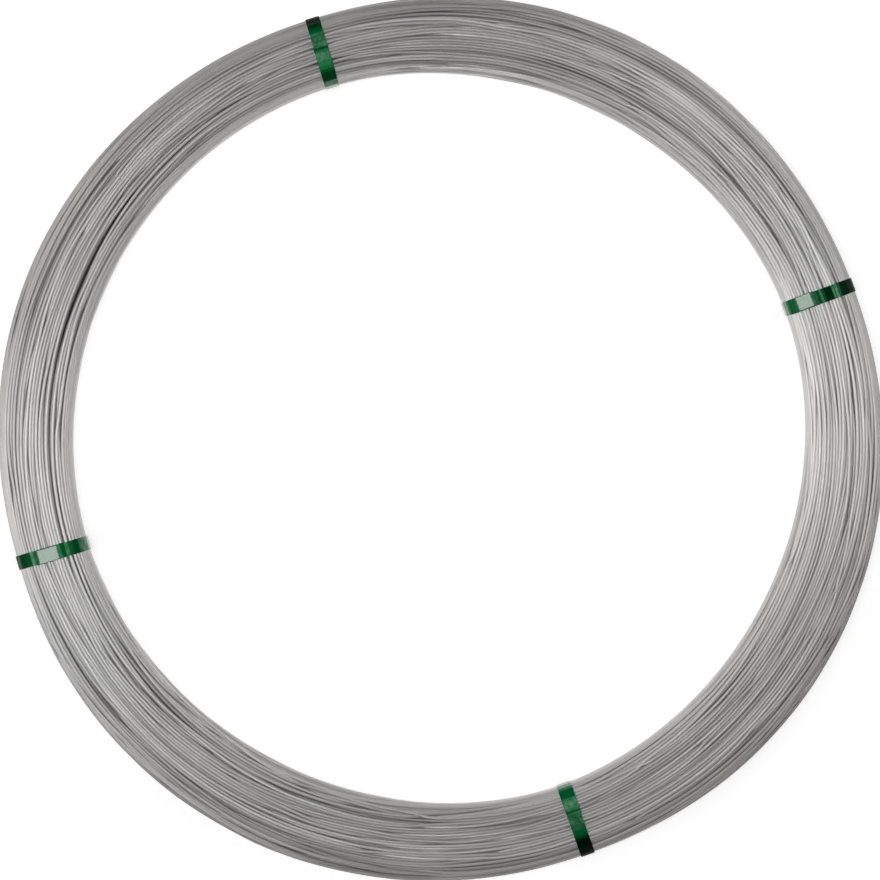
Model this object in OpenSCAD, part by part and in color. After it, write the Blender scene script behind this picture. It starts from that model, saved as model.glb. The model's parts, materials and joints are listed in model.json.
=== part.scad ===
// Coil of galvanised fencing wire, lying flat on the floor with its axis along Z.
// The wire is one turned solid: a bundle with a D-shaped section, flat where the winding
// drum shaped it and round outside, ridged all over by the backs of its outer turns.
// Four plastic straps are drawn tight round the bundle and welded to themselves on top.
// The coil rests on the undersides of its straps, at Z = 0.

/* [Coil] */
// Diameter of the eye, across the backs of the innermost turns
eye_d = 586; // [400:1:700]
// Width of the bundle, from its innermost turn to its outermost
bundle_w = 60; // [45:1:90]
// Height of the bundle as it lies
bundle_h = 44; // [42:1:80]
// Rounding of the bundle's two edges at the eye
eye_round = 14; // [6:1:20]
// Rounding of the bundle's two edges at its rim
rim_round = 20; // [6:1:20]

/* [Wire] */
// Diameter of the wire
wire_d = 2.5; // [2:0.1:4]
// Gap between turns that lie side by side
turn_gap = 0.1; // [0.05:0.05:0.5]
// Depth to which the grooves between the turns open
groove_depth = 0.7; // [0.4:0.05:0.9]
// Flat that the winding drum leaves on the backs of the innermost turns, as a depth
drum_flat = 0.15; // [0.1:0.05:0.3]

/* [Straps] */
// Width of a strap
strap_w = 12; // [6:1:25]
// Thickness of a strap
strap_t = 0.8; // [0.4:0.1:1.2]
// Clearance between a strap and the backs of the turns
strap_gap = 0.3; // [0.1:0.1:0.5]
// Length of the overlap where a strap is welded to itself
weld_l = 24; // [10:1:25]
// Where the straps sit round the coil, in degrees
strap_angles = [20.5, 107, 196.5, 289.5]; // [0:0.5:360]
// How far from the eye the free end of each strap lies
free_ends = [25, 33, 42, 25]; // [10:1:50]

/* [Hidden] */
$fn = 96;
// Each turn's outline has flat sides, which keeps its band round the coil a plain cone
turn_sides = 12;

wire_r = wire_d / 2;
pitch = wire_d + turn_gap;
eye_r = eye_d / 2;
rim_r = eye_r + bundle_w;
under_z = strap_t + strap_gap;
top_z = under_z + bundle_h;

// The bundle's rounded section, as radius and height, grown by a clearance
module section(grow = 0) {
    eye = eye_round + grow;
    rim = rim_round + grow;
    low = [eye_r - grow, under_z - grow];
    high = [rim_r + grow, top_z + grow];
    polygon([
        [low.x + eye, low.y], [high.x - rim, low.y],
        [high.x, low.y + rim], [high.x, high.y - rim],
        [high.x - rim, high.y], [low.x + eye, high.y],
        [low.x, high.y - eye], [low.x, low.y + eye]
    ]);
    for (z = [low.y + eye, high.y - eye]) translate([low.x + eye, z]) circle(eye);
    for (z = [low.y + rim, high.y - rim]) translate([high.x - rim, z]) circle(rim);
}

// Points of the turns that lie in a straight row
function row(from, to) =
    let (n = max(1, round(norm(to - from) / pitch)))
    [for (i = [0:n - 1]) from + (to - from) * (i + 0.5) / n];

// Points of the turns that lie round an edge of the bundle, anticlockwise from an angle,
// at a depth below their backs
function edge(middle, round_r, from, depth) =
    let (n = max(1, round((round_r - wire_r) * PI / 2 / pitch)))
    [for (i = [0:n - 1])
        let (a = from + 90 * (i + 0.5) / n) middle + (round_r - depth) * [cos(a), sin(a)]];

// One point in each outer turn, all round the section, at a depth below the turns' backs
function outer_turns(depth) =
    let (
        backs_x = eye_r - drum_flat,
        eye_x = backs_x + eye_round,
        rim_x = rim_r - rim_round,
        eye_z = [under_z + eye_round, top_z - eye_round],
        rim_z = [under_z + rim_round, top_z - rim_round]
    )
    concat(
        edge([eye_x, eye_z[0]], eye_round, 180, depth),
        row([eye_x, under_z + depth], [rim_x, under_z + depth]),
        edge([rim_x, rim_z[0]], rim_round, 270, depth),
        row([rim_r - depth, rim_z[0]], [rim_r - depth, rim_z[1]]),
        edge([rim_x, rim_z[1]], rim_round, 0, depth),
        row([rim_x, top_z - depth], [eye_x, top_z - depth]),
        edge([eye_x, eye_z[1]], eye_round, 90, depth),
        row([backs_x + depth, eye_z[1]], [backs_x + depth, eye_z[0]])
    );

module wire_coil() {
    color("darkgray") rotate_extrude() difference() {
        union() {
            polygon(outer_turns(groove_depth));
            for (middle = outer_turns(wire_r)) translate(middle) circle(wire_r, $fn = turn_sides);
        }
        // the winding drum
        square([eye_r, top_z + wire_d]);
    }
}

// A strap's closed loop in section. Its overlap runs from the eye's side over the top, to its
// free end at a distance from the eye
module strap_loop(free_end) {
    difference() {
        section(strap_gap + strap_t);
        section(strap_gap);
    }
    intersection() {
        difference() {
            section(strap_gap + 2 * strap_t);
            section(strap_gap + strap_t);
        }
        translate([eye_r + free_end - weld_l, under_z + bundle_h / 2]) square([weld_l, bundle_h]);
    }
}

module strap(i) {
    color("darkgreen") rotate([90, 0, strap_angles[i]])
        linear_extrude(strap_w, center = true) strap_loop(free_ends[i]);
}

wire_coil();
strap(0);  // strap_right
strap(1);  // strap_top
strap(2);  // strap_left
strap(3);  // strap_bottom
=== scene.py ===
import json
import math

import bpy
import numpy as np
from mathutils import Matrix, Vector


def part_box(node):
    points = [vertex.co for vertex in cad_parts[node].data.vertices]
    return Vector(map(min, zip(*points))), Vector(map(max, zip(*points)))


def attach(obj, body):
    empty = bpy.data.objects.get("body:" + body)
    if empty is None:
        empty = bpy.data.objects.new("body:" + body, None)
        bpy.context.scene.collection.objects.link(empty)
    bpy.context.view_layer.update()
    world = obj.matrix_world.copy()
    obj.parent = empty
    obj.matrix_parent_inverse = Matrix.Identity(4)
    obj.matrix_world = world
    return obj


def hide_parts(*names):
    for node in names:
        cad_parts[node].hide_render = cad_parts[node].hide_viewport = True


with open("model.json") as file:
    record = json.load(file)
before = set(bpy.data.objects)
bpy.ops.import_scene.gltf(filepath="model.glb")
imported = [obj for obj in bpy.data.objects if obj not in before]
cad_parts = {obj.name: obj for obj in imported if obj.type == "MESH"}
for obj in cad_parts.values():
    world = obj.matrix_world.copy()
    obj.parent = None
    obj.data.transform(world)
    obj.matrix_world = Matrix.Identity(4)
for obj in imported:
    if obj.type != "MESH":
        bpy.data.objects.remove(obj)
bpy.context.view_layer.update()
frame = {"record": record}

# A coil of galvanised fencing wire, dressed over its CAD part. The turns that show are laid
# one by one as slowly wandering loops, then pressed apart and held inside the bundle's
# outline until hardly any two share a place. Each strap is drawn tight round the turns
# under it. All lengths are in metres.

rng = np.random.default_rng(3)

# ---------------------------------------------------------------- sizes

coil_low, coil_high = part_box("wire_coil")
mounts = {mount["name"]: mount for mount in frame["record"]["mounts"]}
EYE_R = mounts["eye"]["dims"]["r_mm"] / 1000
RIM_R = coil_high.x
LOW_Z, HIGH_Z = coil_low.z, coil_high.z
MID_R, MID_Z = (EYE_R + RIM_R) / 2, (LOW_Z + HIGH_Z) / 2
EYE_ROUND, RIM_ROUND = 0.014, 0.020
# The bundle's top is a shallow arc: its radius, how far from the eye it is highest, and how
# much higher it is there than the CAD section
TOP_ARC, CREST, CROWN = 0.110, 0.036, 0.0004

WIRE_D = 0.0025
WIRE_R = WIRE_D / 2
LOOSE_PITCH = 0.0028     # between the turns of one layer, which lie loosely
LAYER_STEP = 0.0023      # from one layer of turns down to the next
LAYERS = 3
BAND = 0.0068            # how deep the turns that are laid one by one may lie
STATIONS = 240           # places round the coil where each turn is put
STATION_ANGLE = 2 * math.pi / STATIONS
TURN_L = 2.03            # about the length of wire in a turn

# How far the turns swing sideways, counted in turns, and over what share of a turn
LONG_SWING, LONG_SPAN = 2.1, 0.30
SHORT_SWING, SHORT_SPAN = 0.25, 0.15
DEPTH_SWING = 0.0008     # how far they swing up and down, over the short span too
# The grooves between one hank of turns and the next
GROOVES, GROOVE_DEPTH, GROOVE_SHARPNESS = 16, 0.0016, 6
# How far the grooves sway and drift sideways, counted in grooves, and over what share of a
# turn they drift
GROOVE_SWAY, GROOVE_DRIFT, DRIFT_SPAN = 0.5, 0.3, 0.1
SWAY_SHIFT = 0.3         # how far the sway itself moves round the section, along the coil
# How full the grooves are on the whole, how much that changes, and how often along the coil
GROOVE_FULL, GROOVE_CHANGE, GROOVE_CHANGES = 0.35, 0.6, 12

# How the turns are pressed apart: in how many rounds, how many of these come last and smooth
# less, and after how many each turn's nearest turns are looked up anew
ROUNDS, LAST_ROUNDS, LOOK_UP_EVERY = 140, 12, 10
NEIGHBOURS = 10
CLOSEST = WIRE_D * 0.98  # turns nearer than this are pressed apart
NO_GAP = 1e-6            # two turns this near count as in one place
# How strongly each round presses the turns apart and smooths each one's run
PRESS, SMOOTH, LAST_SMOOTH = 0.42, 0.38, 0.12

STRAP_T = 0.0008
STRAP_W = 0.0113         # the CAD part has the nominal 12 mm
WELD_L = 0.024           # how far a strap overlaps itself
# Each strap's place round the coil, in degrees, and how far from the eye its free end lies
STRAPS = {
    "strap_right": (20.4, 0.025),
    "strap_top": (106.95, 0.033),
    "strap_left": (196.55, 0.042),
    "strap_bottom": (289.62, 0.025),
}
# How far each strap draws the bundle together, at its rim and at its eye
STRAP_DRAW = [(0.0012, 0.0020), (0.0030, 0.0017), (0.0020, 0.0013), (0.0004, 0.0017)]
# How far the bundle swells between one strap and the next, at its rim and at its eye, and
# what share of the way along it swells most
BAY_SWELL = [(0.0042, 0.0045), (0.0038, 0.0010), (0.0044, 0.0052), (0.0058, 0.0040)]
BAY_PEAK = [0.53, 0.56, 0.44, 0.46]
BAY_POINTED = 1.5        # how pointed the swell is, where 1 is a plain half wave
TOP_SWELL, BOTTOM_SWELL = 0.0015, 0.0010

# Where each strap bends on its way over the top, from the eye
STRAP_BENDS = {
    "strap_right": (0.0035, 0.0076, 0.0203, 0.0279, 0.0389, 0.0441, 0.0500),
    "strap_top": (0.0045, 0.0125, 0.0180, 0.0294, 0.0428, 0.0483),
    "strap_left": (0.0056, 0.0150, 0.0220, 0.0388, 0.0433, 0.0522),
    "strap_bottom": (0.0035, 0.0091, 0.0215, 0.0324, 0.0413, 0.0492),
}
# The look of each strap over the top: how far from the eye each part ends, how light its
# green is, as painted light and painted shade flat by flat, how milky it is, from the weld and
# as painted highlights on the pale flats and creases, and how much it shines
STRAP_LOOK = {
    "strap_right": [
        (0.0020, 0.70, 0.6, 1.0), (0.0036, 0.70, 0.2, 0.5), (0.0076, 0.74, 0.0, 0.2),
        (0.0202, 0.66, 0.3, 1.1), (0.0225, 0.45, 0.5, 0.5), (0.0254, 0.50, 0.2, 0.5),
        (0.0274, 0.40, 0.0, 0.3), (0.0292, 0.70, 0.6, 0.5), (0.0314, 0.30, 0.1, 0.3),
        (0.0377, 0.11, 0.0, 0.1), (0.0395, 1.00, 1.0, 1.0), (0.0403, 0.20, 0.0, 0.1),
        (0.0424, 0.80, 1.0, 0.9), (0.0438, 0.30, 0.2, 0.2), (0.0500, 0.10, 0.0, 0.1),
        (0.0700, 0.02, 0.0, 0.06),
    ],
    "strap_top": [
        (0.0036, 0.55, 0.6, 0.8), (0.0101, 0.22, 0.0, 0.1), (0.0125, 0.50, 0.0, 0.1),
        (0.0155, 0.95, 0.1, 0.3), (0.0195, 0.90, 0.3, 0.5), (0.0254, 0.85, 0.7, 0.6),
        (0.0279, 0.75, 0.3, 0.5), (0.0296, 0.42, 0.0, 0.1), (0.0334, 0.65, 0.7, 0.5),
        (0.0393, 0.40, 0.5, 0.4), (0.0415, 0.75, 0.4, 0.4), (0.0433, 0.60, 0.0, 0.2),
        (0.0453, 0.38, 0.0, 0.1), (0.0473, 0.22, 0.0, 0.1), (0.0492, 0.12, 0.0, 0.1),
        (0.0700, 0.03, 0.0, 0.03),
    ],
    "strap_left": [
        (0.0036, 0.60, 0.7, 0.9), (0.0056, 0.60, 0.4, 0.5), (0.0096, 0.34, 0.0, 0.1),
        (0.0135, 0.60, 0.0, 0.2), (0.0160, 0.85, 0.6, 0.5), (0.0195, 0.60, 0.0, 0.2),
        (0.0225, 0.90, 0.6, 0.6), (0.0378, 0.60, 0.3, 1.1), (0.0411, 0.60, 0.4, 0.5),
        (0.0435, 1.00, 1.0, 1.0), (0.0473, 0.48, 0.0, 0.1), (0.0700, 0.33, 0.0, 0.08),
    ],
    "strap_bottom": [
        (0.0020, 0.70, 0.6, 0.9), (0.0036, 0.60, 0.3, 0.4), (0.0091, 0.62, 0.0, 0.1),
        (0.0115, 0.85, 0.5, 0.5), (0.0175, 0.90, 0.9, 0.7), (0.0195, 0.75, 0.4, 0.4),
        (0.0213, 0.42, 0.0, 0.1), (0.0244, 0.65, 0.4, 0.4), (0.0314, 0.45, 0.5, 0.4),
        (0.0354, 0.50, 0.2, 0.3), (0.0393, 0.62, 0.0, 0.1), (0.0413, 0.42, 0.0, 0.1),
        (0.0433, 0.15, 0.0, 0.1), (0.0700, 0.0, 0.0, 0.03),
    ],
}
# The same three for the rest of a strap, at its sides and underneath
PLAIN_LOOK = {"light": 0.4, "weld_milk_and_highlight": 0.0, "shine": 0.5}


# ---------------------------------------------------------------- the bundle's outline

def fan(count):
    """Unit vectors all round, as radius and height."""
    turn = np.linspace(0, 2 * math.pi, count, endpoint=False)
    return np.stack([np.cos(turn), np.sin(turn)], 1)


def closed(loop):
    """A loop's points with the first one again at the end, and how far along it each lies."""
    points = np.vstack([loop, loop[:1]])
    steps = np.linalg.norm(np.diff(points, axis=0), axis=1)
    return points, np.concatenate([[0], np.cumsum(steps)])


def arch(sideways, radius):
    """The middle of a circle of this radius that touches the top arc from inside."""
    way = np.array([sideways, math.sqrt(1 - sideways ** 2)])
    return ARC_MIDDLE + way * (TOP_ARC - radius)


# The section is the hull of five circles: two at the eye, two at the rim, and the top arc,
# which is the section's edge only between its two ends
ARC_MIDDLE = np.array([EYE_R + CREST, HIGH_Z + CROWN - TOP_ARC])
EYE_END = (EYE_ROUND - CREST) / (TOP_ARC - EYE_ROUND)
RIM_END = (RIM_R - RIM_ROUND - ARC_MIDDLE[0]) / (TOP_ARC - RIM_ROUND)
CENTRES = np.array([
    (EYE_R + EYE_ROUND, LOW_Z + EYE_ROUND),
    arch(EYE_END, EYE_ROUND),
    (RIM_R - RIM_ROUND, LOW_Z + RIM_ROUND),
    arch(RIM_END, RIM_ROUND),
    ARC_MIDDLE,
])
RADII = np.array([EYE_ROUND, EYE_ROUND, RIM_ROUND, RIM_ROUND, TOP_ARC])


def reach(ways):
    """How far the section reaches in each direction, and which of its arcs reaches that
    far."""
    each = ways @ CENTRES.T + RADII
    over_top = (ways[:, 1] > 0) & (ways[:, 0] > EYE_END) & (ways[:, 0] < RIM_END)
    each[~over_top, -1] = -1
    return each.max(1), each.argmax(1)


def outline(count=720):
    """The section's outline: its points, how far along it each lies, and their normals."""
    normals = fan(count)
    arc = reach(normals)[1]
    points, distances = closed(CENTRES[arc] + normals * RADII[arc][:, None])
    return points, distances, np.vstack([normals, normals[:1]])


OUTLINE, OUTLINE_S, OUTLINE_N = outline()
PERIMETER = OUTLINE_S[-1]


def under_outline(along, depth):
    """Points at a distance along the section's outline, counted as a share of it, and at a
    depth below it."""
    s = (along % 1.0) * PERIMETER
    point = np.stack([np.interp(s, OUTLINE_S, OUTLINE[:, k]) for k in (0, 1)], -1)
    normal = np.stack([np.interp(s, OUTLINE_S, OUTLINE_N[:, k]) for k in (0, 1)], -1)
    return point - normal * depth[..., None]


STATION_TURN = math.radians(STRAPS["strap_right"][0]) + STATION_ANGLE * np.arange(STATIONS)
WAYS = fan(120)


def round_the_coil():
    """How far the bundle is from its CAD section at each station, at its rim and at its eye,
    and how full the bay between two straps is there."""
    edges = np.radians([turn for turn, _ in STRAPS.values()])
    edges = np.append(edges, edges[0] + 2 * math.pi)
    bay = np.clip(np.searchsorted(edges, STATION_TURN, side="right") - 1, 0, len(STRAPS) - 1)
    t = np.clip((STATION_TURN - edges[bay]) / (edges[bay + 1] - edges[bay]), 0, 1)
    full = np.sin(math.pi * t ** (math.log(0.5) / np.log(BAY_PEAK)[bay])) ** BAY_POINTED
    draw = np.array(STRAP_DRAW + STRAP_DRAW[:1])
    drawn = draw[bay] + (draw[bay + 1] - draw[bay]) * t[:, None]
    return full[:, None] * np.array(BAY_SWELL)[bay] - drawn, full[:, None]


def envelope():
    """How far the bundle reaches at each station, in each of WAYS."""
    swell, full = round_the_coil()
    at_rim, at_top = (np.clip(WAYS[:, k], 0, 1) ** 2 for k in (0, 1))
    at_eye, at_bottom = (np.clip(-WAYS[:, k], 0, 1) ** 2 for k in (0, 1))
    return (
        reach(WAYS)[0] + swell[:, :1] * at_rim + swell[:, 1:] * at_eye
        + full * (TOP_SWELL * at_top + BOTTOM_SWELL * at_bottom)
    )


ENVELOPE = envelope()


# ---------------------------------------------------------------- the turns of wire

def ease(x):
    """From 0 to 1 with a soft start and a soft end."""
    return x ** 2 * (3 - 2 * x)


def wander(turns, span):
    """Smooth noise along a layer's wire, closed on itself: a value for each station of each
    turn. A swing takes about that share of a turn."""
    knots = int(turns / span)
    value = rng.normal(size=knots)
    x = np.arange(turns * STATIONS) * knots / (turns * STATIONS)
    i = x.astype(int)
    f = ease(x - i)
    return (value[i % knots] * (1 - f) + value[(i + 1) % knots] * f).reshape(turns, STATIONS)


def shared_noise(way, round_knots, along_knots):
    """Smooth noise round the section and along the coil, which turns that lie together
    share. A value for each station of each turn."""
    knots = rng.normal(size=(round_knots, along_knots))
    u = way / (2 * math.pi) % 1.0 * round_knots
    v = np.arange(STATIONS)[:, None] / STATIONS * along_knots + 0 * u
    i, j = u.astype(int), v.astype(int)
    f, g = ease(u % 1), ease(v % 1)

    def at(a, b):
        return knots[(i + a) % round_knots, (j + b) % along_knots]

    near, far = (at(0, b) * (1 - f) + at(1, b) * f for b in (0, 1))
    return near * (1 - g) + far * g


def groove(share):
    """How deep the bundle's surface dips at each place round its section, between one hank
    of turns and the next. The grooves sway sideways, and fade in and out along the coil."""
    shift = SWAY_SHIFT * wander(1, SHORT_SPAN)[0]
    drift = GROOVE_DRIFT * wander(1, DRIFT_SPAN)[0]
    phase = GROOVES * share + GROOVE_SWAY * np.sin(2 * math.pi * (2 * share + shift)) + drift
    patchy = shared_noise(2 * math.pi * share.T, GROOVES, GROOVE_CHANGES).T
    full = np.clip(GROOVE_FULL + GROOVE_CHANGE * patchy, 0, 1)
    return GROOVE_DEPTH * full * np.clip(np.cos(2 * math.pi * phase), 0, 1) ** GROOVE_SHARPNESS


def lay_turns():
    """The turns as first laid: their places at each station, which turn each one runs on
    into, and which layer each belongs to."""
    places, runs_into, layer_of = [], [], []
    for layer in range(LAYERS):
        depth = WIRE_R + layer * LAYER_STEP
        turns = round((PERIMETER - 2 * math.pi * depth) / LOOSE_PITCH)
        along = np.arange(turns)[:, None] + np.arange(STATIONS) / STATIONS
        along = along + LONG_SWING * wander(turns, LONG_SPAN)
        along = along + SHORT_SWING * wander(turns, SHORT_SPAN)
        depth = depth + DEPTH_SWING * wander(turns, SHORT_SPAN) + groove(along / turns)
        first = sum(len(p) for p in places)
        places.append(under_outline(along / turns, depth))
        runs_into += [first + (i + 1) % turns for i in range(turns)]
        layer_of += [layer] * turns
    return np.vstack(places).transpose(1, 0, 2), np.array(runs_into), np.array(layer_of)


def nearest(place, count):
    """The nearest other turns to each turn, at each station."""
    found = np.empty(place.shape[:2] + (count,), int)
    for k, here in enumerate(place):
        gap = np.square(here[:, None] - here[None]).sum(-1)
        np.fill_diagonal(gap, 1.0)       # no turn is its own neighbour
        found[k] = np.argpartition(gap, count, axis=1)[:, :count]
    return found


def settle(place, runs_into):
    """Presses the turns apart, keeps each one's run smooth, and holds all of them in a band
    just under the bundle's outline."""
    comes_from = np.argsort(runs_into)
    station = np.arange(STATIONS)[:, None, None]
    room = ENVELOPE - WIRE_R
    for k in range(ROUNDS):
        if k % LOOK_UP_EVERY == 0:
            near = nearest(place, NEIGHBOURS)
        away = place[:, :, None] - place[station, near]
        gap = np.maximum(np.linalg.norm(away, axis=-1), NO_GAP)
        short = np.clip(CLOSEST - gap, 0, None)
        place = place + PRESS * (away * (short / gap)[..., None]).sum(2)
        before = np.concatenate([place[-1:, comes_from], place[:-1]])
        after = np.concatenate([place[1:], place[:1, runs_into]])
        smooth = SMOOTH if k < ROUNDS - LAST_ROUNDS else LAST_SMOOTH
        place = place + smooth * ((before + after) / 2 - place)
        proud = place @ WAYS.T - room[:, None]
        way = proud.argmax(-1)
        proud = np.take_along_axis(proud, way[..., None], -1)[..., 0]
        shift = np.clip(proud, 0, None) + np.clip(proud + BAND - WIRE_R, None, 0)
        place = place - WAYS[way] * shift[..., None]
    return place


def ring_points(radius, height, turn):
    return np.stack(np.broadcast_arrays(radius * np.cos(turn), radius * np.sin(turn), height), -1)


def mesh_piece(name, rings, closed_ends=False, values=None, uv=None):
    """A mesh of tubes: rings is (tubes, stations, sides, 3). values are names of floats on
    each point, and uv is a pair for each point, going up round the ring."""
    tubes, stations, sides, _ = rings.shape
    at = np.arange(tubes * stations * sides).reshape(tubes, stations, sides)
    on = np.roll(at, -1, axis=2)
    quads = np.stack([at[:, :-1], on[:, :-1], on[:, 1:], at[:, 1:]], -1).reshape(-1, 4)
    faces = [tuple(q) for q in quads.tolist()]
    if closed_ends:
        for tube in at:
            faces += [tuple(tube[0, ::-1].tolist()), tuple(tube[-1].tolist())]
    mesh = bpy.data.meshes.new(name)
    mesh.from_pydata(rings.reshape(-1, 3).tolist(), [], faces)
    for key, value in (values or {}).items():
        mesh.attributes.new(key, "FLOAT", "POINT").data.foreach_set(
            "value", np.broadcast_to(value, rings.shape[:3]).astype(np.float32).ravel())
    if uv is not None:
        corner = np.empty(len(mesh.loops), np.int32)
        mesh.loops.foreach_get("vertex_index", corner)
        pairs = uv.reshape(-1, 2)[corner].astype(np.float32)
        mesh.uv_layers.new(name="along").data.foreach_set("uv", pairs.ravel())
    mesh.polygons.foreach_set("use_smooth", [True] * len(mesh.polygons))
    mesh.update()
    piece = bpy.data.objects.new(name, mesh)
    bpy.context.scene.collection.objects.link(piece)
    return piece


def wire_piece(name, place, runs_into, members, sides, tone_and_painted_light):
    """Some of the turns, as one piece of tubes. Each tube ends where the turn that its own
    runs on into begins."""
    paths = np.concatenate([place, place[:1, runs_into]])[:, members].transpose(1, 0, 2)
    # The corners lie as far outside the round wire as the flats lie inside it
    round_wire = fan(sides) * WIRE_R / math.cos(math.pi / sides) ** 0.5
    section = paths[:, :, None] + round_wire
    turn = np.append(STATION_TURN, STATION_TURN[0] + 2 * math.pi)[None, :, None]
    rings = ring_points(section[..., 0], section[..., 1], turn)
    shade = np.concatenate([tone_and_painted_light, tone_and_painted_light[runs_into][:, :1]], 1)[members]
    along = members[:, None] * TURN_L + np.linspace(0, TURN_L, STATIONS + 1)
    uv = np.stack(np.broadcast_arrays(np.arange(sides) / sides, along[..., None]), -1)
    return mesh_piece(name, rings, values={"tone_and_painted_light": shade[..., None]}, uv=uv)


TONE = 0.53              # how light the wire is on the whole
RIM_PAINTED_SHADE = 0.6           # how much darker the rim is painted, as painted shade
# Stripes of turns painted paler or duller along the coil, painted light and painted shade on
# one side of it: their way from the section's middle and how wide they are, in radians, how
# much paler they are all round and on one side of the coil, and where round the coil that side
# is, in degrees
PAINTED_LIGHT_STRIPES = [
    (2.95, 0.20, 0.00, -0.40, 205),
    (2.53, 0.25, 0.00, 0.50, 8),
    (2.53, 0.25, 0.00, -0.40, 205),
    (0.95, 0.20, -0.18, 0.00, 0),
    (0.55, 0.30, 0.04, 0.65, 208),
]
# Each turn's own noise: how strong it is, and over what share of a turn it changes
OWN_NOISE = [(0.20, 2.6), (0.15, 0.3)]
# The noise that neighbours share: how strong it is, and how often it changes round the
# section and along the coil
SHARED_NOISE = [(0.12, 30, 9), (0.15, 54, 13)]
SIDE_NOISE = 0.45        # how much stronger the noise is at the rim and in the eye
CALM = 0.45              # how much less uneven the coil is where its turns run along Y
BURIED_PAINTED_SHADE = 0.20       # how much darker the turns that lie under others are painted, as painted shade
BURIED_FROM = 0.0010     # how far under the bundle's surface that begins


def wire_tone(place):
    """How light each turn is at each station. The turns at the rim are painted darker, as
    painted shade, those at the rim and in the eye are less alike, those that lie under others
    are painted a little darker, as painted shade, and stripes of turns are painted paler and
    darker, as painted light and painted shade."""
    turns = place.shape[1]
    away = place - np.array([MID_R, MID_Z])
    way = np.arctan2(away[..., 1], away[..., 0])
    at_side = (np.cos(way) ** 2).T
    at_rim = at_side * (np.cos(way) > 0).T
    # Stripes of painted light and painted shade
    painted_stripes = 0.0
    for toward, spread, all_round, more, turn in PAINTED_LIGHT_STRIPES:
        lobe = np.clip(np.cos(STATION_TURN - math.radians(turn)), 0, 1)[:, None] ** 2
        painted_stripes = painted_stripes + np.exp(-((way - toward) / spread) ** 2) * (all_round + more * lobe)
    own = sum(amount * wander(turns, span) for amount, span in OWN_NOISE)
    shared = sum(amount * shared_noise(way, *knots) for amount, *knots in SHARED_NOISE)
    below = (ENVELOPE - WIRE_R - (place @ WAYS.T).transpose(1, 0, 2)).min(-1)
    # Painted shade on the turns that lie under others
    buried_shade = BURIED_PAINTED_SHADE * np.clip((below - BURIED_FROM) / BURIED_FROM, 0, 1)
    calm = 1 - CALM * np.cos(STATION_TURN) ** 2
    uneven = (1 + SIDE_NOISE * at_side) * (own + shared.T) - buried_shade
    # Painted shade at the rim, and painted light and shade in the stripes
    return TONE - RIM_PAINTED_SHADE * at_rim + painted_stripes.T + calm * uneven


HEART_SIDES, HEART_STATIONS = 48, 96
HEART_DEPTH = BAND - 0.0006


def heart_piece():
    """The heart of the bundle, a dark stand-in for the deeper turns in painted shade, which only
    shows as darkness between the turns.
    """
    share = np.arange(HEART_SIDES) / HEART_SIDES
    section = under_outline(share, np.full(HEART_SIDES, HEART_DEPTH))
    turn = np.linspace(0, 2 * math.pi, HEART_STATIONS + 1)[:, None]
    return mesh_piece("wire_heart_shade", ring_points(section[:, 0], section[:, 1], turn)[None])


place, runs_into, layer_of = lay_turns()
place = settle(place, runs_into)
# Each turn's lightness: random tone, with painted light and painted shade
tone_and_painted_light = wire_tone(place)

outer, middle, inner = (np.flatnonzero(layer_of == layer) for layer in range(LAYERS))
wire_pieces = [
    wire_piece(name, place, runs_into, members, sides, tone_and_painted_light)
    for name, members, sides in [
        ("wire_outer_turns_a", outer[::2], 8),
        ("wire_outer_turns_b", outer[1::2], 8),
        ("wire_middle_turns", middle, 7),
        ("wire_inner_turns", inner, 6),
    ]
]
wire_heart_shade = heart_piece()


# ---------------------------------------------------------------- the straps

STRAP_STEP = 0.0007      # between the rings of a strap
FINE_STEP = 0.0001       # between the points of the loop that a strap follows
SOFTENINGS = 2           # how often the path is smoothed
BEND_LIFT = 0.0010       # how far a strap's bends stand off the turns
STRAP_AIR = 0.0001       # between a strap and what it lies on
# How far before its overlap a strap starts to climb onto its own start, and over what length
CLIMB_BEFORE, CLIMB_L = 0.006, 0.007
# How far the free end lies aside of the start, over what length it gets there, and the shift
# of the whole strap that keeps it centred
SLIDE, SLIDE_BEFORE, SLIDE_L, SLIDE_SHIFT = 0.0005, 0.05, 0.06, 0.0001
# Across the strap and up from its underside, anticlockwise, as shares of its width and
# thickness
STRAP_SECTION = np.array([
    (-0.5, 0.2), (-0.485, 0.0), (0.485, 0.0), (0.5, 0.2), (0.5, 0.8), (0.485, 1.0),
    (0.46, 1.0), (-0.46, 1.0), (-0.485, 1.0), (-0.5, 0.8),
])


def hull(points):
    """The convex hull of points in a plane, anticlockwise."""
    points = points[np.lexsort((points[:, 1], points[:, 0]))]

    def half(ordered):
        line = []
        for p in ordered:
            while len(line) > 1 and (
                (line[-1][0] - line[-2][0]) * (p[1] - line[-2][1])
                - (line[-1][1] - line[-2][1]) * (p[0] - line[-2][0])
            ) <= 0:
                line.pop()
            line.append(p)
        return line[:-1]

    return np.array(half(points) + half(points[::-1]))


def walk(loop, length, step):
    """Points at equal steps along a closed loop, from its first point."""
    points, s = closed(loop)
    at = np.linspace(0, length, max(2, round(length / step)) + 1) % s[-1]
    return np.stack([np.interp(at, s, points[:, k]) for k in (0, 1)], -1)


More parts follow.
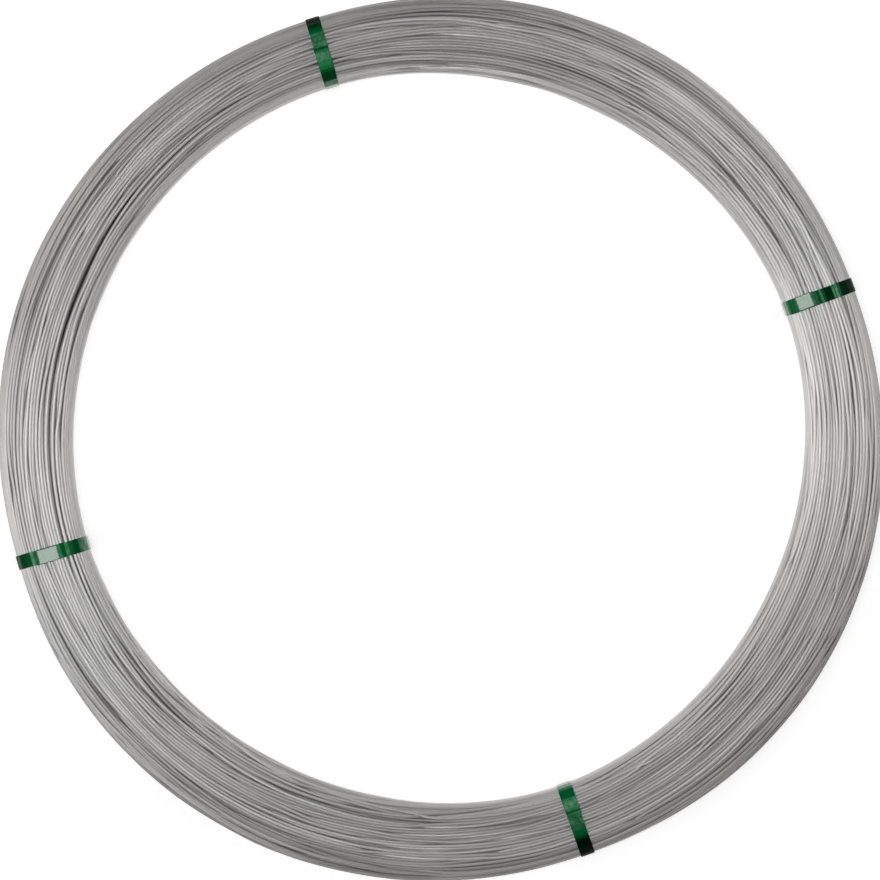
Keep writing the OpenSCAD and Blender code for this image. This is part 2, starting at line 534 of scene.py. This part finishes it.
def strap_loop(node, turn, free_end):
    """The tightest loop round the turns under a strap and the strap's bends, and its length.
    It starts under the strap's overlap and goes out over the rim."""
    first = math.floor((turn - STATION_TURN[0]) / STATION_ANGLE)
    under = np.arange(first - 1, first + 3) % STATIONS
    wires = place[under].reshape(-1, 1, 2)
    wires = (wires + fan(24) * WIRE_R).reshape(-1, 2)
    bends = wires[:, 0].min() + np.array(STRAP_BENDS[node])
    crest = np.interp(bends, *(OUTLINE[OUTLINE_N[:, 1] > 0][::-1].T)) + BEND_LIFT
    tight = hull(np.vstack([wires, np.stack([bends, crest], 1)]))[::-1]
    length = closed(tight)[1][-1]
    loop = walk(tight, length, FINE_STEP)[:-1]
    underneath = np.where(loop[:, 1] > MID_Z, 0, 1)
    end = np.argmin(np.abs(loop[:, 0] - EYE_R - free_end) + underneath)
    return np.roll(loop, round(WELD_L / FINE_STEP) - end, axis=0), length


def strap_look(node, path):
    """How light a strap is, as painted light and shade, how milky, from its weld and as painted
    highlights, and how shiny it is at each point of its path.
    """
    ends, *looks = np.array(STRAP_LOOK[node]).T
    part = np.searchsorted(ends, path[:, 0] - path[:, 0].min())
    return {
        name: np.where(path[:, 1] < MID_Z, plain, look[part])[:, None]
        for (name, plain), look in zip(PLAIN_LOOK.items(), looks)
    }


def strap_piece(node, degrees, free_end):
    """A strap drawn tight over the turns: it starts under its own overlap, goes out over the
    rim, back under the bundle and up through the eye, and ends on top of its start."""
    turn = math.radians(degrees)
    loop, length = strap_loop(node, turn, free_end)
    path = walk(loop, length + WELD_L, STRAP_STEP)
    for _ in range(SOFTENINGS):
        path[1:-1] = path[1:-1] / 2 + (path[:-2] + path[2:]) / 4
    ahead = np.gradient(path, axis=0)
    ahead /= np.linalg.norm(ahead, axis=1)[:, None]
    normal = np.stack([-ahead[:, 1], ahead[:, 0]], 1)
    s = np.linspace(0, length + WELD_L, len(path))
    climb = ease(np.clip((s - length + CLIMB_BEFORE) / CLIMB_L, 0, 1))
    lift = STRAP_AIR + climb * (STRAP_T + STRAP_AIR)
    slide = SLIDE * np.clip((s - length + SLIDE_BEFORE) / SLIDE_L, 0, 1) - SLIDE_SHIFT

    out = np.array([math.cos(turn), math.sin(turn), 0])
    aside = np.array([-math.sin(turn), math.cos(turn), 0])
    across, up = STRAP_SECTION.T
    base = path + normal * lift[:, None]
    plane = base[:, None] + normal[:, None] * (up * STRAP_T)[None, :, None]
    rings = (
        plane[..., :1] * out + plane[..., 1:] * np.array([0, 0, 1])
        + (slide[:, None] + across * STRAP_W)[..., None] * aside
    )
    uv = np.stack(np.broadcast_arrays(across * STRAP_W, s[:, None]), -1)
    return mesh_piece(node + "_band", rings[None], closed_ends=True,
                      values=strap_look(node, path), uv=uv[None])


strap_pieces = {node: strap_piece(node, *spot) for node, spot in STRAPS.items()}


# ---------------------------------------------------------------- materials

class Nodes:
    """A material's node tree, built by short calls."""

    def __init__(self, name):
        self.material = bpy.data.materials.new(name)
        self.material.use_nodes = True
        self.tree = self.material.node_tree
        self.shader = self.tree.nodes["Principled BSDF"]

    def add(self, kind, inputs=None, **settings):
        node = self.tree.nodes.new(kind)
        for key, value in settings.items():
            setattr(node, key, value)
        for key, value in (inputs or {}).items():
            self.put(value, node.inputs[key])
        return node

    def put(self, value, socket):
        if isinstance(value, bpy.types.NodeSocket):
            self.tree.links.new(value, socket)
        else:
            socket.default_value = value

    def look(self, **values):
        """Sets the shader's inputs, by their names with _ for each space."""
        for key, value in values.items():
            self.put(value, self.shader.inputs[key.replace("_", " ")])

    def where(self):
        return self.add("ShaderNodeTexCoord").outputs["Object"]

    def along(self):
        return self.add("ShaderNodeUVMap", uv_map="along").outputs[0]

    def value(self, name):
        return self.add("ShaderNodeAttribute", attribute_name=name).outputs["Fac"]

    def noise(self, vector, scale, detail=2.0, roughness=0.5):
        return self.add("ShaderNodeTexNoise", {
            "Vector": vector, "Scale": scale, "Detail": detail, "Roughness": roughness,
        }).outputs[0]

    def mapped(self, vector, scale):
        return self.add("ShaderNodeMapping", {"Vector": vector, "Scale": scale}).outputs[0]

    def span(self, value, low, high, to_low, to_high):
        return self.add("ShaderNodeMapRange", {
            "Value": value, 1: low, 2: high, 3: to_low, 4: to_high}).outputs[0]

    def math(self, operation, a, b):
        return self.add("ShaderNodeMath", {0: a, 1: b}, operation=operation).outputs[0]

    def mix(self, factor, a, b):
        return self.add("ShaderNodeMix", {0: factor, 6: a, 7: b}, data_type="RGBA").outputs[2]

    def bump(self, height, strength, distance):
        return self.add("ShaderNodeBump", {
            "Strength": strength, "Distance": distance, "Height": height}).outputs[0]


ZINC_DARK, ZINC_PALE = (0.207, 0.2, 0.2, 1), (0.87, 0.86, 0.856, 1)
ZINC_WARM, ZINC_MARK = (0.71, 0.683, 0.668, 1), (0.52, 0.51, 0.51, 1)
# The heart's greys are painted shade, as dark as deeper turns in shadow
HEART_SHADE_DARK, HEART_SHADE_PALE = (0.05, 0.05, 0.05, 1), (0.14, 0.138, 0.138, 1)
# The strap's dark and light greens are painted shade and painted light
GREEN_PAINTED_SHADE, GREEN_PAINTED_LIGHT = (0.0, 0.003, 0.001, 1), (0.0, 0.20, 0.048, 1)
# The milky pale is the weld's, and also painted highlight on the pale flats and creases
GREEN_LINE, GREEN_MILK_AND_HIGHLIGHT = (0.0, 0.20, 0.06, 1), (0.16, 0.42, 0.25, 1)


def galvanised_wire():
    """Zinc on drawn steel wire: dull grey metal, a little lighter or darker from turn to turn, at
    random and with the painted light and shade in each turn's tone, faintly warm or cool in
    patches, with fine marks along the wire."""
    n = Nodes("galvanised_wire")
    place_on = n.where()
    marks = n.noise(n.mapped(n.along(), (6.0, 60.0, 1.0)), 1.0, 4.0, 0.6)
    patch = n.noise(place_on, 9.0, 2.0)
    spangle = n.noise(place_on, 900.0, 2.0)
    # The greys follow each turn's tone, which carries painted light and shade as well as random
    # tone
    grey = n.mix(n.span(n.value("tone_and_painted_light"), -0.7, 1.0, 0.0, 1.0), ZINC_DARK, ZINC_PALE)
    grey = n.mix(n.span(patch, 0.35, 0.65, 0.0, 0.35), grey, ZINC_WARM)
    grey = n.mix(n.span(marks, 0.35, 0.75, 0.0, 0.25), grey, ZINC_MARK)
    rough = n.math("ADD", n.span(spangle, 0.3, 0.7, 0.43, 0.51), n.span(marks, 0.3, 0.8, 0.0, 0.08))
    n.look(Base_Color=grey, Metallic=1.0, Roughness=rough, Normal=n.bump(spangle, 0.25, 0.00005),
           Anisotropic=0.78, Anisotropic_Rotation=0.25)
    return n.material


def wire_shadow():
    """The heart's colour, painted shade: the dark that shows between the turns."""
    n = Nodes("wire_heart_shade")
    n.look(Base_Color=n.mix(n.noise(n.where(), 300.0), HEART_SHADE_DARK, HEART_SHADE_PALE), Roughness=0.8)
    return n.material


def green_strapping():
    """Glossy polyester strapping, with faint lines along it from its rolling, its green painted
    lighter and darker flat by flat as painted light and shade, and milky where it was welded
    and where highlights are painted on its pale flats and creases."""
    n = Nodes("green_strapping")
    place_on = n.where()
    lines = n.noise(n.mapped(n.along(), (2200.0, 40.0, 1.0)), 1.0, 3.0)
    cloud = n.noise(place_on, 260.0, 3.0, 0.6)
    speckle = n.noise(place_on, 1100.0, 2.0, 0.6)
    # Milky where welded, and painted highlights on the pale flats and creases
    weld_milk_and_highlight = n.math("MULTIPLY", n.value("weld_milk_and_highlight"), n.span(cloud, 0.38, 0.6, 0.25, 1.0))
    # Painted light and painted shade: the green goes from shaded to lit, flat by flat
    green = n.mix(n.value("light"), GREEN_PAINTED_SHADE, GREEN_PAINTED_LIGHT)
    green = n.mix(n.span(lines, 0.4, 0.8, 0.0, 0.12), green, GREEN_LINE)
    green = n.mix(n.math("MULTIPLY", weld_milk_and_highlight, 0.8), green, GREEN_MILK_AND_HIGHLIGHT)
    rough = n.math("ADD", n.span(lines, 0.3, 0.7, 0.07, 0.12), n.math("MULTIPLY", weld_milk_and_highlight, 0.10))
    height = n.math("ADD", n.math("MULTIPLY", lines, 0.3), n.math("MULTIPLY", weld_milk_and_highlight, speckle))
    n.look(Base_Color=green, Roughness=rough, Normal=n.bump(height, 0.3, 0.0001), IOR=1.37,
           Specular_IOR_Level=n.math("MULTIPLY", n.value("shine"), 0.5))
    return n.material


metal = galvanised_wire()
shadow = wire_shadow()
green = green_strapping()
for piece in wire_pieces + [wire_heart_shade]:
    piece.data.materials.append(shadow if piece is wire_heart_shade else metal)
    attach(piece, "root")
    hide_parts("wire_coil")
for node, piece in strap_pieces.items():
    piece.data.materials.append(green)
    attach(piece, "root")
    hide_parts(node)


# ---------------------------------------------------------------- floor, light and camera

FLOOR_R, FLOOR_SIDES = 15.0, 96
FLOOR_WHITE = (0.8, 0.8, 0.8, 1)
FLOOR_GLOW, FAR_GLOW = 0.62, 0.85        # under the lamps, and past their reach
GLOW_NEAR, GLOW_FAR = 0.6, 3.0           # from where to where it goes over from one to the other


def floor_material():
    """White, and bright to the camera and in reflections, with the shadows still on it."""
    n = Nodes("floor")
    path = n.add("ShaderNodeLightPath").outputs
    seen = n.math("MAXIMUM", path["Is Camera Ray"], path["Is Glossy Ray"])
    seen = n.math("MAXIMUM", seen, path["Is Transmission Ray"])
    n.look(Base_Color=FLOOR_WHITE, Roughness=1.0, Specular_IOR_Level=0.0)
    away = n.add("ShaderNodeVectorMath", {0: n.where()}, operation="LENGTH").outputs["Value"]
    strength = n.span(away, GLOW_NEAR, GLOW_FAR, FLOOR_GLOW, FAR_GLOW)
    glow = n.add("ShaderNodeEmission", {"Strength": n.math("MULTIPLY", seen, strength)})
    both = n.add("ShaderNodeAddShader", {0: n.shader.outputs[0], 1: glow.outputs[0]})
    n.put(both.outputs[0], n.tree.nodes["Material Output"].inputs["Surface"])
    return n.material


floor_mesh = bpy.data.meshes.new("floor")
corners = [(x, y, 0.0) for x, y in (fan(FLOOR_SIDES) * FLOOR_R).tolist()]
floor_mesh.from_pydata(corners, [], [tuple(range(FLOOR_SIDES))])
floor_mesh.materials.append(floor_material())
floor = bpy.data.objects.new("floor", floor_mesh)
bpy.context.scene.collection.objects.link(floor)

WORLD_GREY = 0.20
world = bpy.data.worlds.new("studio")
world.use_nodes = True
background = world.node_tree.nodes["Background"]
background.inputs["Color"].default_value = (WORLD_GREY, WORLD_GREY, WORLD_GREY, 1)
bpy.context.scene.world = world

# How far each lamp leans from straight overhead and the upright plane that it leans in, both
# in degrees, its distance, its two sides and its radiance
LAMPS = {
    "key_lamp": (-8.5, 6, 3.6, (0.6, 0.6), 14.5),
    "arch_lamp_0": (-56, 6, 3.7, (1.25, 1.7), 1.9),
    "arch_lamp_1": (-36, 6, 3.7, (1.25, 1.7), 1.5),
    "arch_lamp_2": (36, 6, 3.7, (1.25, 1.7), 1.5),
    "arch_lamp_3": (56, 6, 3.7, (1.25, 1.7), 0.9),
    "corner_lamp_0": (47, 48, 1.25, (0.6, 0.6), 0.9),
    "corner_lamp_1": (58, 138, 1.25, (0.6, 0.6), 0.75),
}


def lamp(name, lean, plane, distance, size, radiance):
    """A soft rectangular lamp that faces the middle of the floor."""
    light = bpy.data.lights.new(name, "AREA")
    light.shape = "RECTANGLE"
    light.size, light.size_y = size
    light.energy = radiance * math.pi * size[0] * size[1]
    thing = bpy.data.objects.new(name, light)
    lean, plane = math.radians(lean), math.radians(plane)
    away = distance * math.sin(lean)
    thing.location = (away * math.cos(plane), away * math.sin(plane), distance * math.cos(lean))
    thing.rotation_euler = (0, lean, plane)
    thing.visible_camera = False
    bpy.context.scene.collection.objects.link(thing)


for name, settings in LAMPS.items():
    lamp(name, *settings)

CAMERA_AT = (0.0002, -0.0016, 3.0)       # a little off the axis, as the picture is framed
FRAMED = 0.704           # what the picture takes in, across the middle of the coil
SENSOR = 36.0            # millimetres
camera_data = bpy.data.cameras.new("camera")
camera_data.sensor_width = SENSOR
camera_data.lens = SENSOR * (CAMERA_AT[2] - MID_Z) / FRAMED
camera = bpy.data.objects.new("camera", camera_data)
camera.location = CAMERA_AT
bpy.context.scene.collection.objects.link(camera)
bpy.context.scene.camera = camera
bpy.context.scene.view_settings.view_transform = "Standard"
